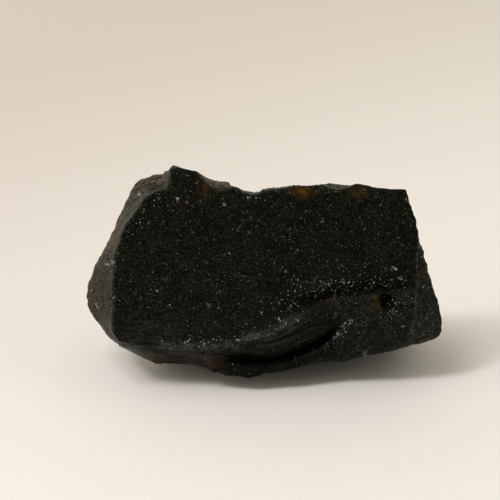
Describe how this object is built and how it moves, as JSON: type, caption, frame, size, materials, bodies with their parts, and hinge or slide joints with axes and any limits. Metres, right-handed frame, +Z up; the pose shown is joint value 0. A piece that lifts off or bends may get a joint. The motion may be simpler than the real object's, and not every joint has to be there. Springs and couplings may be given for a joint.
{
  "type": "tektite",
  "caption": "Broken block of natural black glass with one broad satin face, sharp ridges and hollowed fracture faces, resting on small flat feet.",
  "frame": {"origin": "on the surface that the stone rests on, under the middle of its outline seen from above", "axes": "+X to the right along the broad face, -Y the side that the broad face looks to, +Z up"},
  "size_m": [0.0553, 0.0257, 0.032],
  "materials": {
    "black_glass": "satin natural glass, near black, amber-brown where an edge is thin"
  },
  "bodies": {
    "root": {"tektite": "black_glass"}
  },
  "joints": []
}
